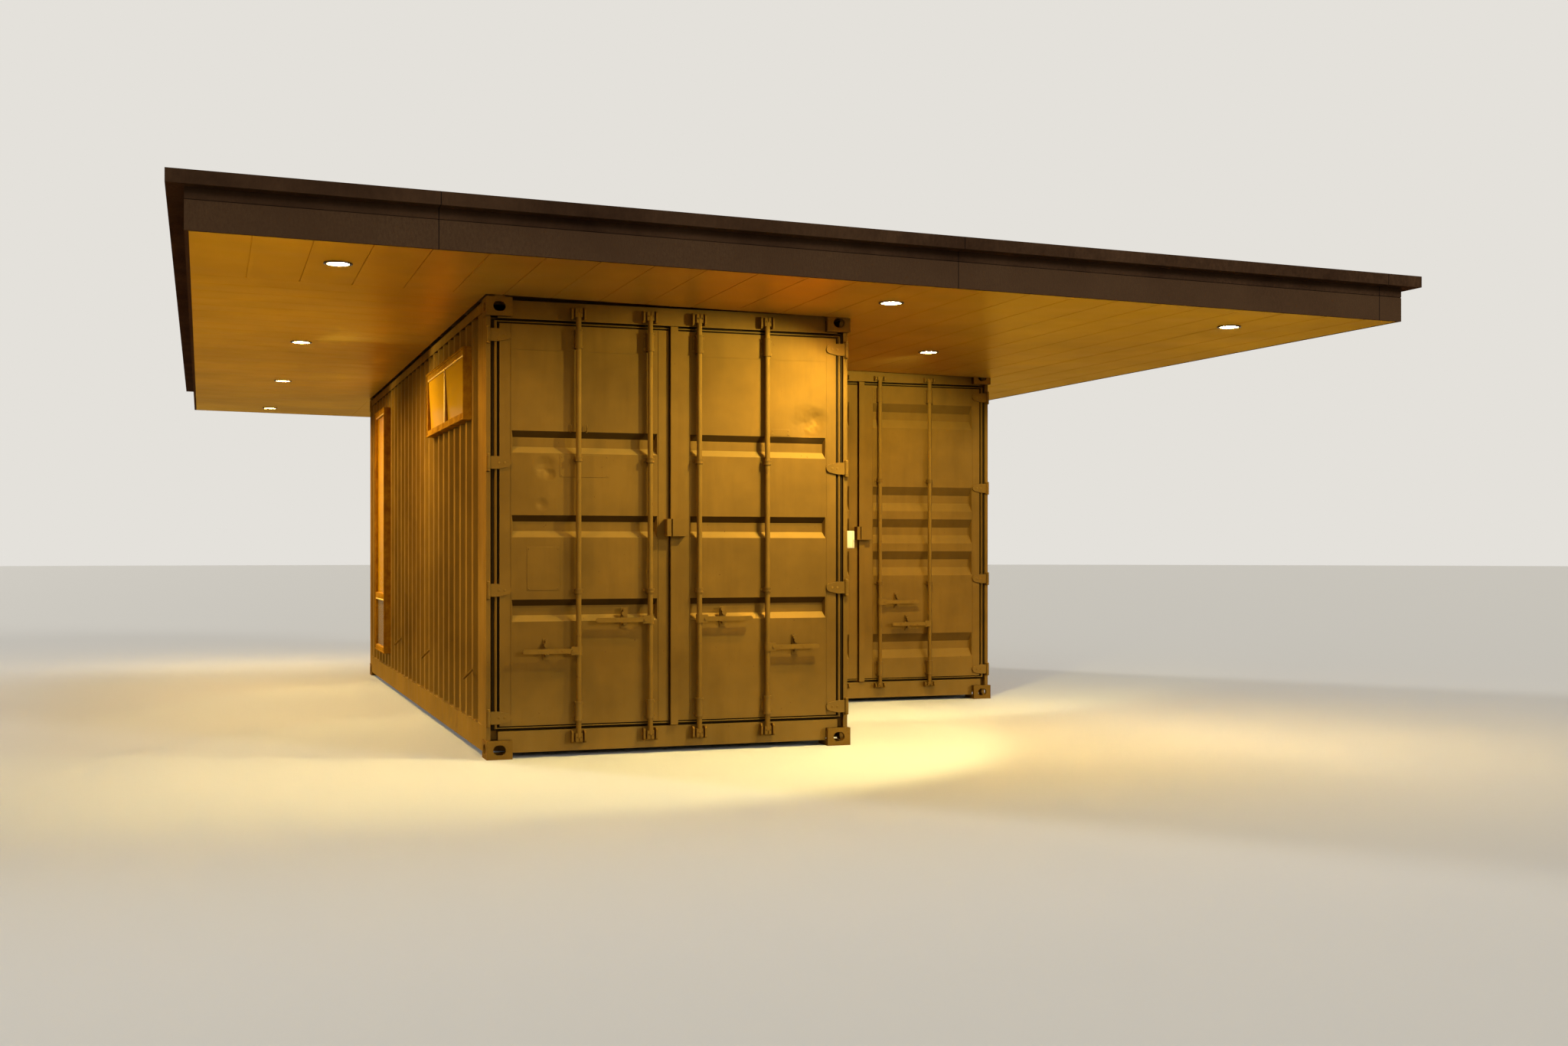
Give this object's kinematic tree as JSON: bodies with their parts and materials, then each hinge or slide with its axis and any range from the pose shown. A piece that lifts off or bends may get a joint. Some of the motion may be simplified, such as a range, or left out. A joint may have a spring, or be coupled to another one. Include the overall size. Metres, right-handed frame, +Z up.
{
  "type": "shipping container cabin",
  "caption": "Cabin of side-by-side shipping containers with hinged cargo doors and lock rods, under a wide flat canopy roof with a boarded soffit.",
  "frame": {"origin": "middle of the roof's plan, on the ground plane under the containers' bottom castings", "axes": "+Z up, +Y from the cargo doors towards the back along the containers, +X to the right when facing the doors from outside"},
  "size_m": [7.725, 11.524, 3.2231],
  "materials": {
    "container_paint": "satin grey-brown paint with dirt and rust marks",
    "fitting_steel": "same paint, worn on cast and rolled steel",
    "floor_plywood": "sealed plywood",
    "window_paint": "orange-brown, weathered",
    "window_glass": "clear, slightly dark",
    "white_plastic": "matt",
    "timber": "sawn softwood",
    "roof_membrane": "matt dark roofing membrane",
    "soffit_metal": "smooth tan boards, satin, slightly reflective",
    "fascia_metal": "dark bronze with a mottled patina",
    "light_trim": "dark bronze",
    "light_lens": "warm diffuser"
  },
  "bodies": {
    "cabin": {"near_corner_posts": "container_paint", "far_corner_posts": "container_paint", "near_base_rails": "container_paint", "far_base_rails": "container_paint", "near_top_rails": "container_paint", "far_top_rails": "container_paint", "near_roof_sheet": "container_paint", "far_roof_sheet": "container_paint", "near_left_wall": "container_paint", "near_right_wall": "container_paint", "near_rear_wall": "container_paint", "far_left_wall": "container_paint", "far_right_wall": "container_paint", "far_rear_wall": "container_paint", "far_left_door": "container_paint", "corner_castings": "fitting_steel", "near_cross_members": "fitting_steel", "far_cross_members": "fitting_steel", "hinge_lugs": "fitting_steel", "cam_keepers": "fitting_steel", "far_left_rods": "fitting_steel", "wall_pegs": "fitting_steel", "roof_bearers": "fitting_steel", "near_floor": "floor_plywood", "far_floor": "floor_plywood", "window_frames": "window_paint", "window_panes": "window_glass", "outlet_box": "white_plastic", "roof_joists": "timber", "roof_deck": "roof_membrane", "soffit": "soffit_metal", "fascia": "fascia_metal", "roof_cap": "fascia_metal", "downlight_trims": "light_trim", "downlight_lenses": "light_lens"},
    "near_left_leaf": {"near_left_door": "container_paint"},
    "near_right_leaf": {"near_right_door": "container_paint", "near_lock_box": "container_paint"},
    "far_right_leaf": {"far_right_door": "container_paint", "far_lock_box": "container_paint"},
    "near_left_outer_lock": {"near_left_outer_rod": "fitting_steel"},
    "near_left_inner_lock": {"near_left_inner_rod": "fitting_steel"},
    "near_right_inner_lock": {"near_right_inner_rod": "fitting_steel"},
    "near_right_outer_lock": {"near_right_outer_rod": "fitting_steel"},
    "far_right_inner_lock": {"far_right_inner_rod": "fitting_steel"},
    "far_right_outer_lock": {"far_right_outer_rod": "fitting_steel"}
  },
  "joints": [
    {"name": "near_left_door_hinge", "type": "hinge", "parent": "cabin", "child": "near_left_leaf", "pos_m": [-2.0025, -4.226, 0], "axis": [0, 0, 1], "range_deg": [-215, 0]},
    {"name": "near_right_door_hinge", "type": "hinge", "parent": "cabin", "child": "near_right_leaf", "pos_m": [0.4055, -4.226, 0], "axis": [0, 0, 1], "range_deg": [0, 200]},
    {"name": "far_right_door_hinge", "type": "hinge", "parent": "cabin", "child": "far_right_leaf", "pos_m": [2.8675, -1.396, 0], "axis": [0, 0, 1], "range_deg": [0, 215]},
    {"name": "near_left_outer_turn", "type": "hinge", "parent": "near_left_leaf", "child": "near_left_outer_lock", "pos_m": [-1.4325, -4.245, 0], "axis": [0, 0, 1], "range_deg": [0, 100]},
    {"name": "near_left_inner_turn", "type": "hinge", "parent": "near_left_leaf", "child": "near_left_inner_lock", "pos_m": [-0.9635, -4.245, 0], "axis": [0, 0, 1], "range_deg": [0, 100]},
    {"name": "near_right_inner_turn", "type": "hinge", "parent": "near_right_leaf", "child": "near_right_inner_lock", "pos_m": [-0.6335, -4.245, 0], "axis": [0, 0, 1], "range_deg": [-100, 0]},
    {"name": "near_right_outer_turn", "type": "hinge", "parent": "near_right_leaf", "child": "near_right_outer_lock", "pos_m": [-0.1645, -4.245, 0], "axis": [0, 0, 1], "range_deg": [-100, 0]},
    {"name": "far_right_inner_turn", "type": "hinge", "parent": "far_right_leaf", "child": "far_right_inner_lock", "pos_m": [1.8285, -1.415, 0], "axis": [0, 0, 1], "range_deg": [-100, 0]},
    {"name": "far_right_outer_turn", "type": "hinge", "parent": "far_right_leaf", "child": "far_right_outer_lock", "pos_m": [2.2975, -1.415, 0], "axis": [0, 0, 1], "range_deg": [0, 100]}
  ]
}
